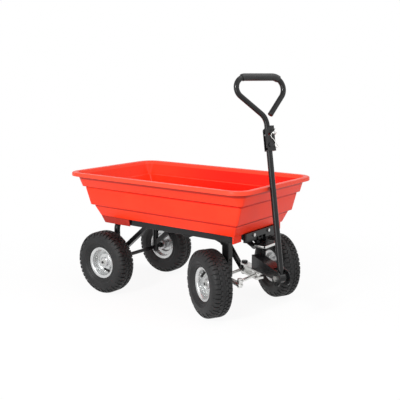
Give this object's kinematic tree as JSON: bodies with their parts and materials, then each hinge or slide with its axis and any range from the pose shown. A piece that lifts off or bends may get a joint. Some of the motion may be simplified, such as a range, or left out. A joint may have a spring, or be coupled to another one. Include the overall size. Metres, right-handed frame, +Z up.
{
  "type": "garden cart",
  "caption": "Garden dump cart with a moulded tipping tub on a steel chassis, pneumatic wheels, linked front steering and a folding loop handle.",
  "frame": {"origin": "on the ground, under the middle of the cart's bounding box", "axes": "+X forward to the handle end, +Y to the cart's left, +Z up out of the tub"},
  "size_m": [0.9954, 0.5502, 0.9059],
  "materials": {
    "tub_plastic": "moulded satin",
    "black_steel": "powder coat",
    "zinc_steel": "zinc plated",
    "dark_fastener": "black oxide",
    "tyre_rubber": "matt",
    "rim_steel": "silver paint",
    "hub_steel": "turned",
    "valve_rubber": "matt",
    "grip_foam": "foam",
    "plug_plastic": "matt"
  },
  "bodies": {
    "chassis": {"side_rail_left": "black_steel", "side_rail_right": "black_steel", "cross_members": "black_steel", "belly_strap": "black_steel", "rear_hoop": "black_steel", "rear_braces": "black_steel", "rear_axle": "black_steel", "rear_axle_nuts": "zinc_steel", "front_leg_left": "black_steel", "front_leg_right": "black_steel", "kingpins": "zinc_steel", "front_axle_bar": "zinc_steel", "steering_boss": "black_steel", "centre_strut": "black_steel", "latch_bracket": "black_steel", "latch_pin": "zinc_steel"},
    "tub": {"tub": "tub_plastic", "tub_skirts": "tub_plastic", "tub_front_bar": "black_steel", "tub_bar_bolts": "zinc_steel", "striker": "black_steel", "hinge_straps": "black_steel"},
    "latch": {"latch_lever": "black_steel"},
    "steering": {"swivel_bracket": "zinc_steel", "swivel_bolt": "dark_fastener", "tie_rod_bolt": "zinc_steel", "tongue": "black_steel", "handle_bolt": "zinc_steel"},
    "handle": {"handle_shaft": "black_steel", "hitch_bracket": "black_steel", "fold_bolt": "zinc_steel"},
    "grip": {"grip_tube": "black_steel", "grip_sleeve": "grip_foam", "grip_plug": "plug_plastic"},
    "clip": {"spring_clip": "zinc_steel"},
    "knuckle_left": {"knuckle_left": "zinc_steel", "arm_bolt_left": "zinc_steel", "stub_nut_left": "zinc_steel"},
    "tie_rod_left": {"tie_rod_left": "zinc_steel"},
    "knuckle_right": {"knuckle_right": "zinc_steel", "arm_bolt_right": "zinc_steel", "stub_nut_right": "zinc_steel"},
    "tie_rod_right": {"tie_rod_right": "zinc_steel"},
    "wheel_front_left": {"tyre_front_left": "tyre_rubber", "rim_front_left": "rim_steel", "hub_front_left": "hub_steel", "valve_front_left": "valve_rubber"},
    "wheel_front_right": {"tyre_front_right": "tyre_rubber", "rim_front_right": "rim_steel", "hub_front_right": "hub_steel", "valve_front_right": "valve_rubber"},
    "wheel_rear_left": {"tyre_rear_left": "tyre_rubber", "rim_rear_left": "rim_steel", "hub_rear_left": "hub_steel", "valve_rear_left": "valve_rubber"},
    "wheel_rear_right": {"tyre_rear_right": "tyre_rubber", "rim_rear_right": "rim_steel", "hub_rear_right": "hub_steel", "valve_rear_right": "valve_rubber"}
  },
  "joints": [
    {"name": "tub_tip", "type": "hinge", "parent": "chassis", "child": "tub", "pos_m": [-0.3405, 0, 0.3], "axis": [0, -1, 0], "range_deg": [0, 75]},
    {"name": "latch_lift", "type": "hinge", "parent": "chassis", "child": "latch", "pos_m": [0.282, 0, 0.256], "axis": [0, -1, 0], "range_deg": [0, 25]},
    {"name": "steer", "type": "hinge", "parent": "chassis", "child": "steering", "pos_m": [0.2245, 0, 0.158], "axis": [0, 0, 1], "range_deg": [0, 55]},
    {"name": "handle_pitch", "type": "hinge", "parent": "steering", "child": "handle", "pos_m": [0.46222, -0.12375, 0.185], "axis": [0.4617, 0.887, 0], "range_deg": [0, 114]},
    {"name": "grip_fold", "type": "hinge", "parent": "handle", "child": "grip", "pos_m": [0.3719, -0.07673, 0.65203], "axis": [0.8667, -0.4511, 0.213], "range_deg": [0, 90]},
    {"name": "clip_pull", "type": "slide", "parent": "handle", "child": "clip", "axis": [0.8667, -0.4511, 0.213], "range_m": [0, 0.045]},
    {"name": "knuckle_left_turn", "type": "hinge", "parent": "chassis", "child": "knuckle_left", "pos_m": [0.2245, 0.1205, 0.13], "axis": [0, 0, 1], "range_deg": [0, 55]},
    {"name": "tie_rod_left_swing", "type": "hinge", "parent": "steering", "child": "tie_rod_left", "pos_m": [0.3132, -0.04618, 0.155], "axis": [0, 0, 1], "range_deg": [-55, 0]},
    {"name": "knuckle_right_turn", "type": "hinge", "parent": "chassis", "child": "knuckle_right", "pos_m": [0.2245, -0.1205, 0.13], "axis": [0, 0, 1], "range_deg": [0, 55]},
    {"name": "tie_rod_right_swing", "type": "hinge", "parent": "steering", "child": "tie_rod_right", "pos_m": [0.3132, -0.04618, 0.155], "axis": [0, 0, 1], "range_deg": [-55, 0]},
    {"name": "wheel_front_left_spin", "type": "hinge", "parent": "knuckle_left", "child": "wheel_front_left", "pos_m": [0.25936, 0.18747, 0.13], "axis": [0.4617, 0.887, 0], "continuous": true},
    {"name": "wheel_front_right_spin", "type": "hinge", "parent": "knuckle_right", "child": "wheel_front_right", "pos_m": [0.18964, -0.18747, 0.13], "axis": [0.4617, 0.887, 0], "continuous": true},
    {"name": "wheel_rear_left_spin", "type": "hinge", "parent": "chassis", "child": "wheel_rear_left", "pos_m": [-0.3405, 0.196, 0.13], "axis": [0, 1, 0], "continuous": true},
    {"name": "wheel_rear_right_spin", "type": "hinge", "parent": "chassis", "child": "wheel_rear_right", "pos_m": [-0.3405, -0.196, 0.13], "axis": [0, 1, 0], "continuous": true}
  ],
  "couplings": [
    {"joint": "knuckle_left_turn", "follows": "steer", "ratio": 1},
    {"joint": "tie_rod_left_swing", "follows": "steer", "ratio": -1},
    {"joint": "knuckle_right_turn", "follows": "steer", "ratio": 1},
    {"joint": "tie_rod_right_swing", "follows": "steer", "ratio": -1}
  ]
}
